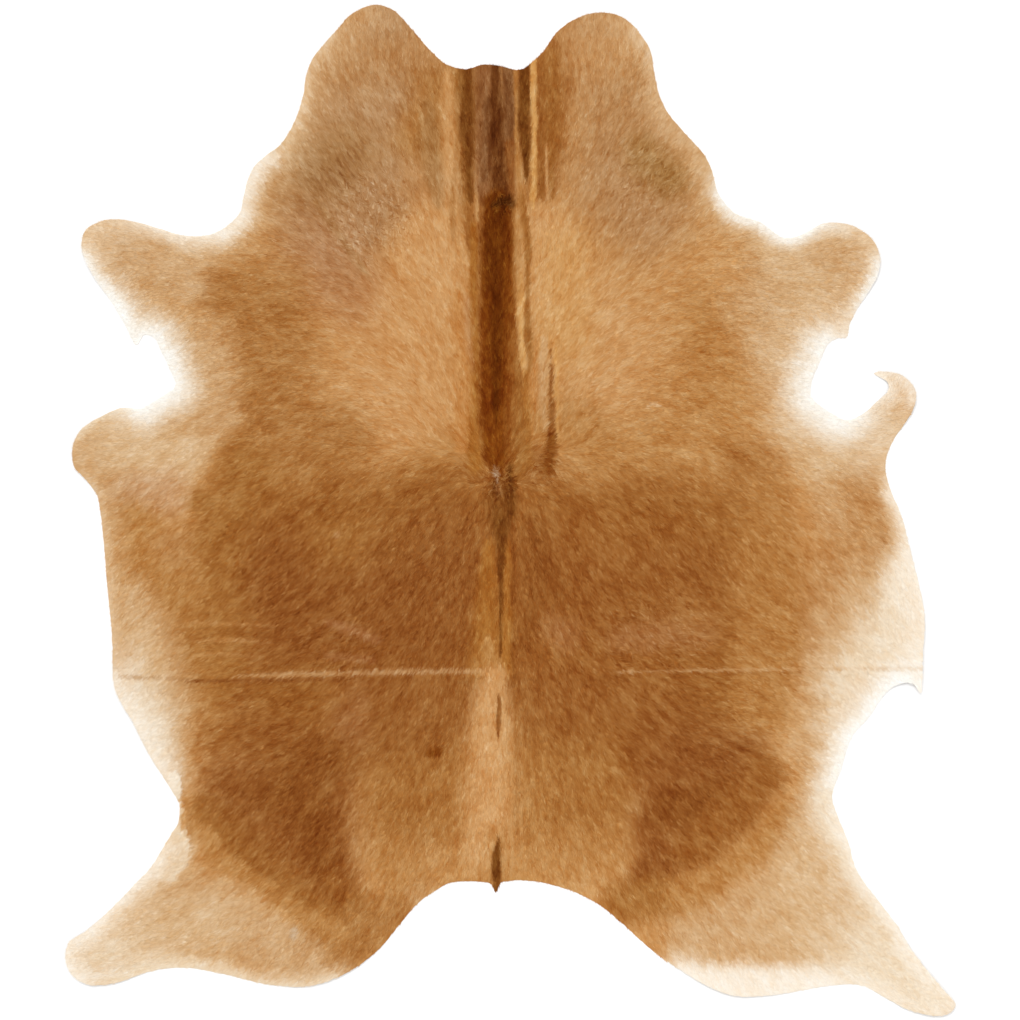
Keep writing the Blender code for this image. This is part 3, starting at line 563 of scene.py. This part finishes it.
def deepen(colour, amount):
    """Colours made deeper and richer, or paler where the amount is below zero."""
    return np.clip(colour, 0, 1) ** np.exp(amount)[:, None]


def coat_colour(x, y, depth, heading):
    """The coat's colour, as it looks, from places and depths in the photograph's pixels."""
    colour = np.tile(srgb(BASE_COLOUR), (len(x), 1))
    wx, wy = x.copy(), y.copy()
    for size, far, seed in WARPS:
        wx += far * noise(x, y, size, seed)
        wy += far * noise(x, y, size, seed + 1)
    lay(colour, wx, wy, PATCHES)
    fade_rim(colour, wx, wy, depth + np.hypot(wx - x, wy - y) * RIM_WANDER)
    fray = FRAY_REACH * noise(x, y / FRAY_STRETCH, FRAY_SIZE, FRAY_SEED)
    lay(colour, x + fray, y, LINES)
    # the neck's dark hatch lines: dark hairs, partly painted shade between hairs
    hatch = [[(i, j, HATCH_REACH), (i + HATCH_RUN[0], j + HATCH_RUN[1], HATCH_REACH)]
             for i, j in HATCH]
    lay(colour, x, y, [("hatch", *HATCH_LOOK, path) for path in hatch])
    deeper = np.zeros(len(x))
    for length, width, strength, seed in STREAKS:
        deeper += strength * streaks(x, y, heading, length, width, seed)
    return deepen(colour, deeper)


# How the hair lies, read from the photograph: a place in its pixels and the way the hair
# points there, in degrees, with 0 to the right and 90 up.
FLOW = [
    (385, 20, 92), (345, 40, 105), (425, 50, 88), (320, 90, 122), (380, 100, 118),
    (430, 110, 110), (455, 150, 102), (497, 90, 92), (497, 170, 90), (540, 130, 80),
    (575, 70, 92), (620, 35, 85), (665, 70, 62), (640, 120, 55), (590, 150, 62),
    (300, 150, 135), (262, 200, 150), (345, 190, 128), (400, 210, 120), (450, 240, 108),
    (690, 180, 42), (655, 200, 48), (600, 220, 58), (550, 240, 72),
    (470, 300, 108), (440, 330, 118), (400, 300, 135), (350, 320, 160), (300, 330, 180),
    (255, 290, 192), (200, 270, 178), (150, 250, 172), (95, 235, 175), (120, 290, 215),
    (170, 330, 218), (525, 300, 72), (560, 320, 58), (600, 310, 42), (650, 320, 18),
    (700, 320, 0), (750, 290, -14), (800, 260, 2), (850, 240, 8), (875, 275, -28),
    (835, 330, -38), (470, 400, 105), (430, 420, 130), (380, 420, 165), (320, 420, 195),
    (260, 400, 205), (200, 400, 200), (160, 420, 200), (95, 450, 190), (525, 400, 75),
    (570, 420, 50), (620, 420, 12), (680, 420, -12), (740, 400, -24), (800, 400, -22),
    (850, 440, -18), (895, 420, 8), (890, 380, 60), (480, 468, 130), (515, 468, 50),
    (440, 478, 215), (380, 490, 222), (300, 490, 222), (220, 480, 215), (150, 500, 220),
    (560, 478, -35), (620, 490, -38), (700, 490, -38), (780, 480, -34), (850, 510, -38),
    (492, 500, 262), (505, 500, 278), (470, 530, 248), (420, 540, 238), (340, 550, 232),
    (260, 560, 230), (180, 580, 226), (120, 600, 230), (530, 530, 292), (580, 540, 302),
    (660, 550, 308), (740, 560, 310), (820, 570, 312), (890, 600, 300),
    (490, 620, 265), (510, 620, 275), (450, 640, 242), (380, 640, 228), (300, 650, 214),
    (220, 660, 208), (150, 680, 226), (550, 640, 300), (620, 640, 322), (700, 650, 338),
    (780, 650, 330), (860, 660, 312), (490, 720, 266), (510, 720, 274), (440, 730, 242),
    (350, 730, 225), (270, 730, 205), (200, 740, 212), (160, 770, 220), (560, 730, 300),
    (650, 730, 320), (730, 730, 338), (800, 740, 330), (840, 780, 320),
    (490, 820, 267), (505, 820, 273), (440, 820, 250), (370, 820, 238), (290, 820, 232),
    (220, 820, 232), (560, 820, 290), (630, 820, 302), (710, 820, 312), (790, 830, 318),
    (430, 880, 248), (350, 900, 240), (280, 910, 222), (220, 900, 212), (150, 920, 206),
    (90, 960, 200), (300, 960, 225), (570, 880, 290), (640, 900, 300), (720, 910, 312),
    (800, 920, 322), (860, 960, 325), (930, 1005, 322), (720, 970, 300), (800, 985, 310),
]
FLOW_POWER = 3.0
FLOW_REACH = 20
FLOW_CORE = 0.2
# Places where the coat is tangled: middle, radius and how far the hair strays, in degrees.
TANGLES = [
    (372, 218, 60, 34), (640, 185, 55, 26), (497, 482, 22, 50), (500, 204, 16, 45),
    (650, 640, 70, 20), (345, 650, 50, 20), (545, 470, 25, 30), (740, 700, 50, 18),
]
PLAIN_STRAY = 9.0
TANGLE_CORE = 0.4


def coat_flow(x, y):
    """The way the hair points at places in pixels, and how far it strays, in radians."""
    east, north = np.zeros(len(x)), np.zeros(len(x))
    for px, py, degrees in FLOW:
        away = ((x - px) ** 2 + (y - py) ** 2) / FLOW_REACH ** 2
        pull = 1 / (away + FLOW_CORE) ** (FLOW_POWER / 2)
        east += pull * math.cos(math.radians(degrees))
        north += pull * math.sin(math.radians(degrees))
    stray = np.full(len(x), PLAIN_STRAY)
    for px, py, radius, degrees in TANGLES:
        near = 1 - smoothstep(TANGLE_CORE, 1.0, np.hypot(x - px, y - py) / radius)
        stray = stray + (degrees - stray) * near
    return np.arctan2(north, east), np.radians(stray)


# The hide's own surfaces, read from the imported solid


def solid_arrays(mesh):
    """The solid's points, with those that coincide as one, and its triangles."""
    mesh.calc_loop_triangles()
    places = np.empty(len(mesh.vertices) * 3)
    mesh.vertices.foreach_get("co", places)
    places = places.reshape(-1, 3)
    corners = np.empty(len(mesh.loop_triangles) * 3, dtype=np.int32)
    mesh.loop_triangles.foreach_get("vertices", corners)
    rounded = np.round(places, 6)
    _, first, same = np.unique(rounded, axis=0, return_index=True, return_inverse=True)
    return places[first], same.reshape(-1)[corners].reshape(-1, 3)


def rim_ring(points, triangles):
    """The outline of the solid's upper face in plan, in order."""
    a, b, c = (points[triangles[:, i]] for i in range(3))
    normal = np.cross(b - a, c - a)
    normal /= np.linalg.norm(normal, axis=1)[:, None]
    upper = triangles[normal[:, 2] > UPWARD]
    sides = np.concatenate([upper[:, [0, 1]], upper[:, [1, 2]], upper[:, [2, 0]]])
    known = {(int(p), int(q)) for p, q in sides}
    after = {p: q for p, q in known if (q, p) not in known}
    start = next(iter(after))
    ring = [start]
    while after[ring[-1]] != start:
        ring.append(after[ring[-1]])
    return points[ring, :2]


def closed_curve(points, step):
    """Places a step apart on the smooth closed curve through these points."""
    before, after = np.roll(points, 1, 0), np.roll(points, -1, 0)
    beyond = np.roll(points, -2, 0)
    shares = np.arange(CURVE_CUTS)[:, None, None] / CURVE_CUTS
    curve = 0.5 * (2 * points + (after - before) * shares
                   + (2 * before - 5 * points + 4 * after - beyond) * shares ** 2
                   + (3 * points - before - 3 * after + beyond) * shares ** 3)
    curve = curve.transpose(1, 0, 2).reshape(-1, 2)
    lengths = np.linalg.norm(np.roll(curve, -1, 0) - curve, axis=1)
    run = np.concatenate([[0], np.cumsum(lengths)])
    at = np.linspace(0, run[-1], int(run[-1] / step), endpoint=False)
    closed = np.vstack([curve, curve[:1]])
    return np.column_stack([np.interp(at, run, closed[:, k]) for k in range(2)])


def is_inside(ring, x, y):
    """Whether each place of a plan grid lies inside the ring. x and y are its axes."""
    ends = np.roll(ring, -1, 0)
    found = np.zeros((len(y), len(x)), bool)
    for row, level in enumerate(y):
        crossing = (ring[:, 1] > level) != (ends[:, 1] > level)
        p, q = ring[crossing], ends[crossing]
        at = p[:, 0] + (level - p[:, 1]) / (q[:, 1] - p[:, 1]) * (q[:, 0] - p[:, 0])
        found[row] = np.sum(at[:, None] < x[None, :], 0) % 2 == 1
    return found


class Plan:
    """What a place in the plan has: its depth inside the rim and the solid's two heights."""

    def __init__(self, solid):
        points, triangles = solid_arrays(solid.data)
        self.ring = closed_curve(rim_ring(points, triangles), RIM_STEP)
        low, high = points.min(0) - FIELD_MARGIN, points.max(0) + FIELD_MARGIN
        self.x = np.arange(low[0], high[0], FIELD_STEP)
        self.y = np.arange(low[1], high[1], FIELD_STEP)
        inside = is_inside(self.ring, self.x, self.y)
        self.depth = self.rim_distance() * np.where(inside, 1, -1)
        self.upper, self.lower = self.heights(points, triangles, inside)
        self.inwards_y, self.inwards_x = np.gradient(self.depth, FIELD_STEP)

    def rim_distance(self):
        """How far each place of the grid lies from the rim."""
        close = closed_curve(self.ring, CLOSE_RIM_STEP)
        tree = KDTree(len(close))
        for i, (x, y) in enumerate(close):
            tree.insert((x, y, 0.0), i)
        tree.balance()
        return np.array([[tree.find((x, y, 0.0))[2] for x in self.x] for y in self.y])

    def heights(self, points, triangles, inside):
        """The solid's upper and lower side, read by rays and spread past the rim."""
        tree = BVHTree.FromPolygons(points.tolist(), triangles.tolist())
        up, down = Vector((0, 0, 1)), Vector((0, 0, -1))
        sides = np.full((2, len(self.y), len(self.x)), np.nan)
        for row, column in np.argwhere(inside):
            x, y = self.x[column], self.y[row]
            above = tree.ray_cast(Vector((x, y, RAY_START)), down)[0]
            below = tree.ray_cast(Vector((x, y, -RAY_START)), up)[0]
            if above and below:
                sides[:, row, column] = above.z, below.z
        sides = [spread_out(side, HEIGHT_SPREAD_ROUNDS) for side in sides]
        return [soften(side, HEIGHT_SOFTEN_ROUNDS) for side in sides]

    def look(self, field, x, y):
        """A field's value at each place, between those of the grid."""
        u = np.clip((x - self.x[0]) / FIELD_STEP, 0, len(self.x) - LAST_CELL)
        v = np.clip((y - self.y[0]) / FIELD_STEP, 0, len(self.y) - LAST_CELL)
        i, j = u.astype(int), v.astype(int)
        f, g = u - i, v - j
        low = field[j, i] * (1 - f) + field[j, i + 1] * f
        high = field[j + 1, i] * (1 - f) + field[j + 1, i + 1] * f
        return low * (1 - g) + high * g

    def inwards(self, x, y):
        """The way from the rim into the hide at each place, one row a place."""
        return np.column_stack([self.look(self.inwards_x, x, y), self.look(self.inwards_y, x, y)])

    def colour(self, x, y, heading):
        """The coat's colour at places in metres, where the hair has this heading."""
        return coat_colour(*to_pixels(x, y), self.look(self.depth, x, y) / PIXEL, heading)

    def skin(self, x, y):
        """The height of the leather's hair side."""
        lower, upper = self.look(self.lower, x, y), self.look(self.upper, x, y)
        return lower + LEATHER_SHARE * (upper - lower) + fine_folds(*to_pixels(x, y))


def spread_out(field, rounds):
    """Fill the empty places beside a field's known ones with their neighbours' mean."""
    for _ in range(rounds):
        known = ~np.isnan(field)
        filled = np.where(known, field, 0.0)
        total, count = np.zeros_like(filled), np.zeros_like(filled)
        for axis in (0, 1):
            for way in (-1, 1):
                total += np.roll(filled, way, axis)
                count += np.roll(known, way, axis)
        mean = total / np.maximum(count, 1)
        field = np.where(known, field, np.where(count > 0, mean, np.nan))
    return np.nan_to_num(field)


def soften(field, rounds):
    """Smooth a field over its neighbours, which takes the solid's facets off it."""
    for _ in range(rounds):
        for axis in (0, 1):
            field = (np.roll(field, 1, axis) + 2 * field + np.roll(field, -1, axis)) / 4
    return field


# Thin creases and rolls beside the main ones: name, height in metres, and the path in the
# photograph's pixels with the half width there.
FINE_FOLDS = [
    ("left groove", -0.0010, [(469, 66, 7), (471, 240, 6)]),
    ("right groove", -0.0010, [(524, 66, 6), (528, 172, 4)]),
    ("right pleat crest", 0.0008, [(534, 62, 5), (536, 200, 5)]),
    ("right outer roll", 0.0008, [(547, 150, 4), (547, 196, 4)]),
    ("left pleat crease", -0.0006, [(451, 178, 4), (452, 222, 4)]),
    ("right strip crease", -0.0008, [(528, 296, 5), (529, 360, 5)]),
    ("fold crease", -0.0012, [(549, 345, 4), (552, 430, 6), (550, 462, 8)]),
    ("fold crest", 0.0009, [(556, 360, 5), (558, 430, 5)]),
    ("left crest", 0.0007, [(459, 330, 6), (459, 460, 6)]),
    ("spine crease", -0.0009, [(501, 540, 5), (501, 650, 4)]),
    ("rump crease", -0.0009, [(499, 698, 4), (499, 730, 4)]),
    ("boundary crest", 0.0008, [(509, 540, 5), (509, 700, 5)]),
    ("rump seam", -0.0006, [(517, 690, 5), (518, 820, 5)]),
    ("left crease", -0.0008, [(190, 681, 4), (350, 680, 4), (470, 678, 4)]),
    ("right crease", -0.0006, [(640, 674, 4), (905, 672, 4)]),
]
FOLD_EDGE = 1.4


def fine_folds(x, y):
    """How far the thin folds lift the skin at places in pixels."""
    lift = np.zeros(len(x))
    for _, height, path in FINE_FOLDS:
        lift += height * (1 - smoothstep(0.0, FOLD_EDGE, brush_reach(x, y, path)))
    return lift


def add_object(name, data):
    """A new object in the scene."""
    made = bpy.data.objects.new(name, data)
    bpy.context.scene.collection.objects.link(made)
    return made


def mesh_of(name, points, triangles, colours, materials, smooth):
    """A mesh object from arrays, with the coat's colour in it and a flat map of the plan."""
    mesh = bpy.data.meshes.new(name)
    mesh.vertices.add(len(points))
    mesh.vertices.foreach_set("co", points.astype(np.float32).ravel())
    mesh.loops.add(triangles.size)
    mesh.loops.foreach_set("vertex_index", triangles.astype(np.int32).ravel())
    mesh.polygons.add(len(triangles))
    mesh.polygons.foreach_set("loop_start", np.arange(0, triangles.size, 3, dtype=np.int32))
    mesh.update(calc_edges=True)
    tint = mesh.color_attributes.new("coat", "FLOAT_COLOR", "POINT")
    own = HAIR_GAIN * linear(colours) ** HAIR_POWER
    rgba = np.column_stack([np.clip(own, 0, 1), np.ones(len(points))])
    tint.data.foreach_set("color", rgba.astype(np.float32).ravel())
    size = cad_box[1] - cad_box[0]
    flat = points[triangles.ravel(), :2] / (FLAT_MARGIN * max(size.x, size.y)) + 0.5
    layer = mesh.uv_layers.new(name="OFBake")
    layer.data.foreach_set("uv", flat.astype(np.float32).ravel())
    for material in materials:
        mesh.materials.append(material)
    if smooth:
        mesh.shade_smooth()
    return add_object(name, mesh)


# The skin


def staggered_places(plan, step, clearance):
    """Places of a staggered grid, each a little out of line, well inside the rim."""
    rows = np.arange(plan.y[0], plan.y[-1], step * math.sqrt(0.75))
    columns = np.arange(plan.x[0], plan.x[-1], step)
    x, y = np.meshgrid(columns, rows)
    x[1::2] += step / 2
    chance = np.random.default_rng(SEED)
    x = (x + chance.uniform(-PLACE_STRAY, PLACE_STRAY, x.shape) * step).ravel()
    y = (y + chance.uniform(-PLACE_STRAY, PLACE_STRAY, y.shape) * step).ravel()
    inside = plan.look(plan.depth, x, y) > clearance
    return x[inside], y[inside]


def skin_places(plan):
    """Places for the hair side's mesh, closer together along the folds at the spine."""
    x, y = staggered_places(plan, SKIN_STEP, SKIN_MARGIN * SKIN_STEP)
    plain = (x < SPINE_BAND[0]) | (x > SPINE_BAND[1])
    fine_x, fine_y = staggered_places(plan, SPINE_STEP, SKIN_MARGIN * SPINE_STEP)
    near = (fine_x > SPINE_BAND[0]) & (fine_x < SPINE_BAND[1])
    return np.append(x[plain], fine_x[near]), np.append(y[plain], fine_y[near])


def ragged_ring(plan):
    """The rim as the knife and the shears left it, a little uneven."""
    ring = plan.ring
    along = np.arange(len(ring)) * RIM_STEP
    still = np.zeros(len(ring))
    uneven = sum(far * noise(along, still, size, seed) for far, size, seed in RIM_WAVES)
    return ring + plan.inwards(*ring.T) * uneven[:, None]


def filled_ring(ring, x, y):
    """Triangles between the ring and the places in it, facing up. The ring comes first."""
    places = np.vstack([ring, np.column_stack([x, y])])
    sides = [(i, (i + 1) % len(ring)) for i in range(len(ring))]
    inside_only = 1
    made = delaunay_2d_cdt([Vector(p) for p in places], sides, [], inside_only, CLOSEST)
    first_of = [from_places[0] for from_places in made[3]]
    triangles = np.array([[first_of[i] for i in face] for face in made[2]])
    a, b, c = (places[triangles[:, i]] for i in range(3))
    turn = (b - a)[:, 0] * (c - a)[:, 1] - (b - a)[:, 1] * (c - a)[:, 0]
    triangles[turn < 0] = triangles[turn < 0][:, ::-1]
    return places, triangles


def make_skin(plan):
    """The leather: one closed sheet, with the coat's colour on its hair side."""
    ring = ragged_ring(plan)
    above, hair_side = filled_ring(ring, *skin_places(plan))
    flesh_places = staggered_places(plan, FLESH_STEP, FLESH_MARGIN * FLESH_STEP)
    below, flesh_side = filled_ring(ring, *flesh_places)
    thinnest = plan.look(plan.lower, *above.T) + THINNEST_SKIN
    top = np.column_stack([above, np.maximum(plan.skin(*above.T), thinnest)])
    base = np.column_stack([below, np.maximum(plan.look(plan.lower, *below.T), 0.0)])
    here = np.arange(len(ring))
    after = np.roll(here, -1)
    under, under_after = here + len(top), after + len(top)
    wall = np.vstack([np.column_stack([under, under_after, after]),
                      np.column_stack([under, after, here])])
    points = np.vstack([top, base])
    triangles = np.vstack([hair_side, flesh_side[:, ::-1] + len(top), wall])
    x, y, _ = points.T
    heading, _ = coat_flow(*to_pixels(x, y))
    colours = plan.colour(x, y, heading)
    skin = mesh_of("hide_skin", points, triangles, colours,
                   [hair_side_material(), flesh_side_material()], True)
    sides = np.full(len(triangles), FLESH_SIDE, dtype=np.int32)
    sides[:len(hair_side)] = HAIR_SIDE
    skin.data.polygons.foreach_set("material_index", sides)
    skin.data.set_sharp_from_angle(angle=SHARP_ANGLE)
    return skin


# The hair


def grow_hair(plan):
    """Every hair's root, tip and colour. Hairs stand in clumps that share a lie and a tone."""
    chance = np.random.default_rng(SEED + 1)
    x, y = staggered_places(plan, CLUMP_STEP, HAIR_MARGIN)
    lie, stray = coat_flow(*to_pixels(x, y))
    heading = lie + stray * chance.standard_normal(len(x))
    even = EVEN_TONE * chance.standard_normal(len(x))
    # a few clumps deeper: dark hairs, partly painted shade for the shadows between hairs
    uneven = even + DARK_HAIR_AND_SHADE_TONE * (chance.exponential(1, len(x)) - 1)
    tone = CLUMP_TONE * (PLAIN_TONE + TANGLED_TONE * stray) * uneven
    shift = chance.uniform(-CLUMP_SLIDE, CLUMP_SLIDE, len(x)) * HAIR_LENGTH

    every = np.repeat(np.arange(len(x)), HAIRS_TO_A_CLUMP)
    count = len(every)
    heading = heading[every] + HAIR_STRAY * chance.standard_normal(count)
    length = HAIR_LENGTH * chance.uniform(*LENGTHS, count)
    run = np.column_stack([np.cos(heading), np.sin(heading)])
    aside = np.column_stack([-run[:, 1], run[:, 0]])
    middle = np.column_stack([x, y])[every]
    slide = shift[every] + chance.uniform(-HAIR_SLIDE, HAIR_SLIDE, count) * HAIR_LENGTH
    middle += run * slide[:, None]
    middle += aside * chance.uniform(-0.5, 0.5, count)[:, None] * CLUMP_STEP

    for share in (0.5, -0.5):
        end = middle + run * (share * length)[:, None]
        depth = plan.look(plan.depth, *end.T)
        allowed = TIP_OVERHANG * chance.uniform(0, 1, count) if share > 0 else -ROOT_INSET
        short = np.maximum(0.0, -depth - allowed)
        middle += plan.inwards(*end.T) * short[:, None]

    from_root = COLOUR_STRAY * chance.uniform(-1, 1, len(x))[every]
    source = middle + run * from_root[:, None]
    colour = plan.colour(*source.T, lie[every])
    colour = deepen(colour, tone[every] + HAIR_TONE * chance.standard_normal(count))
    root = middle - run * (0.5 * length)[:, None]
    tip = middle + run * (0.5 * length)[:, None]
    half = aside * (0.5 * HAIR_WIDTH * chance.uniform(*WIDTHS, count))[:, None]
    roll = chance.uniform(-HAIR_ROLL, HAIR_ROLL, count) * HAIR_WIDTH / 2
    thickness = plan.look(plan.upper, *tip.T) - plan.look(plan.lower, *tip.T)
    coat = (1 - LEATHER_SHARE) * thickness
    rise = coat * chance.uniform(*RISES, count)
    root_z = np.maximum(plan.skin(*root.T) - ROOT_DEPTH, LOWEST_HAIR)
    tip_z = np.maximum(plan.skin(*tip.T) + rise, LOWEST_HAIR)
    corners = np.empty((count, 3, 3))
    corners[:, 0, :2], corners[:, 0, 2] = root + half, root_z + roll
    corners[:, 1, :2], corners[:, 1, 2] = root - half, root_z - roll
    corners[:, 2, :2], corners[:, 2, 2] = tip, tip_z
    return corners, colour


def make_hair(plan):
    """The coat, as one piece of loose hairs for each stretch of the hide."""
    corners, colour = grow_hair(plan)
    order = np.argsort(-corners[:, 2, 1], kind="stable")
    material = hair_material()
    pieces = []
    for name, part in zip(HAIR_NAMES, np.array_split(order, len(HAIR_NAMES))):
        points = corners[part].reshape(-1, 3)
        triangles = np.arange(len(points)).reshape(-1, 3)
        tints = np.repeat(colour[part], 3, axis=0)
        pieces.append(mesh_of(name, points, triangles, tints, [material], False))
    return pieces


# Materials


def new_material(name):
    """A new material, its node tree and its shader."""
    material = bpy.data.materials.new(name)
    material.use_nodes = True
    tree = material.node_tree
    return material, tree, tree.nodes["Principled BSDF"]


def set_inputs(tree, node, **values):
    """Set a node's inputs by name. An input given a socket is linked to it."""
    for name, value in values.items():
        socket = node.inputs[name.replace("_", " ")]
        if isinstance(value, bpy.types.NodeSocket):
            tree.links.new(value, socket)
        else:
            socket.default_value = value
    return node


def plan_noise(tree, scale, detail):
    """Noise in the hide's own metres, with so many waves to a metre."""
    place = tree.nodes.new("ShaderNodeTexCoord")
    waves = set_inputs(tree, tree.nodes.new("ShaderNodeTexNoise"), Vector=place.outputs["Object"],
                       Scale=scale, Detail=detail, Roughness=0.6)
    return waves.outputs["Fac"]


def remap(tree, value, **limits):
    """A value moved from one pair of limits to another."""
    moved = set_inputs(tree, tree.nodes.new("ShaderNodeMapRange"), Value=value, **limits)
    return moved.outputs["Result"]


def grain(tree, strength, depth, scale, detail):
    """The surface's direction, with fine bumps this deep in metres."""
    bump = set_inputs(tree, tree.nodes.new("ShaderNodeBump"), Strength=strength, Distance=depth,
                      Height=plan_noise(tree, scale, detail))
    return bump.outputs["Normal"]


def coat_tint(tree):
    """The coat's colour, which the mesh carries."""
    tint = tree.nodes.new("ShaderNodeAttribute")
    tint.attribute_name = "coat"
    return tint.outputs["Color"]


def hair_side_material():
    """The skin between the hairs, with the short underfur's grain. Its colour is the coat's, darkened
    in a fine noise as painted shade of the underfur in the gaps.
    """
    material, tree, shader = new_material("hair side")
    # painted shade: the coat's colour darkened down to 0.86 of itself where the skin shows between the
    # hairs
    shade = remap(tree, plan_noise(tree, 700.0, 3.0), From_Min=0.3, From_Max=0.7,
                  To_Min=0.86, To_Max=1.0)
    shaded = tree.nodes.new("ShaderNodeVectorMath")
    shaded.operation = "SCALE"
    set_inputs(tree, shaded, Vector=coat_tint(tree), Scale=shade)
    set_inputs(tree, shader, Base_Color=shaded.outputs["Vector"],
               Normal=grain(tree, 0.5, 0.0006, 900.0, 2.0),
               Roughness=0.75, Specular_IOR_Level=0.05)
    return material


def flesh_side_material():
    """The tanned underside: pale suede with a fine nap and some darker clouds."""
    material, tree, shader = new_material("flesh side")
    ramp = set_inputs(tree, tree.nodes.new("ShaderNodeValToRGB"), Fac=plan_noise(tree, 9.0, 6.0))
    clouds = [(0.35, (0.44, 0.33, 0.23, 1)), (0.68, (0.60, 0.48, 0.36, 1))]
    for stop, (position, colour) in zip(ramp.color_ramp.elements, clouds):
        stop.position = position
        stop.color = colour
    set_inputs(tree, shader, Base_Color=ramp.outputs["Color"],
               Normal=grain(tree, 0.6, 0.0004, 1400.0, 4.0),
               Roughness=0.95, Specular_IOR_Level=0.15, Sheen_Weight=0.25)
    return material


def hair_material():
    """Hair in the coat's colours, with a soft uneven gloss."""
    material, tree, shader = new_material("hair")
    gloss = remap(tree, plan_noise(tree, 60.0, 3.0), To_Min=0.42, To_Max=0.62)
    set_inputs(tree, shader, Base_Color=coat_tint(tree), Roughness=gloss,
               Specular_IOR_Level=0.08, Specular_Tint=(1.0, 0.55, 0.20, 1))
    return material


# The studio


def make_floor():
    """A plain pale floor, a hair's breadth below the hide."""
    bpy.ops.mesh.primitive_plane_add(size=FLOOR_SIZE, location=(0, 0, -FLOOR_GAP))
    floor = bpy.context.object
    floor.name = "floor"
    material, tree, shader = new_material("pale floor")
    set_inputs(tree, shader, Base_Color=(0.93, 0.93, 0.93, 1), Roughness=0.9)
    floor.data.materials.append(material)


def light_studio():
    """An even white room and one wide soft light, from the neck's side."""
    world = bpy.data.worlds.new("studio")
    bpy.context.scene.world = world
    world.use_nodes = True
    tree = world.node_tree
    set_inputs(tree, tree.nodes["Background"], Color=(1, 1, 1, 1), Strength=ROOM_LIGHT)
    sun = bpy.data.lights.new("softbox", "SUN")
    sun.energy = SOFT_LIGHT
    sun.angle = SOFT_LIGHT_SPREAD
    lamp = add_object("softbox", sun)
    lamp.rotation_euler = Vector(SOFT_LIGHT_FROM).to_track_quat("Z", "Y").to_euler()


def place_camera():
    """A long lens straight above, with the photograph's own frame around the hide."""
    lens = bpy.data.cameras.new("camera")
    lens.lens, lens.sensor_width = LENS_MM, SENSOR_MM
    lens.clip_end = FARTHEST
    camera = add_object("camera", lens)
    height = FRAME_PX * PIXEL * LENS_MM / SENSOR_MM
    offset_x = (FRAME_PX / 2 - HIDE_MIDDLE_PX[0]) * PIXEL
    offset_y = (HIDE_MIDDLE_PX[1] - FRAME_PX / 2) * PIXEL
    camera.location = (offset_x, offset_y, height)
    bpy.context.scene.camera = camera
    bpy.context.scene.view_settings.view_transform = "Standard"


plan = Plan(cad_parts["hide"])
skin = make_skin(plan)
hair = make_hair(plan)
for piece in [skin, *hair]:
    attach(piece, "root")
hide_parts("hide")
make_floor()
light_studio()
place_camera()
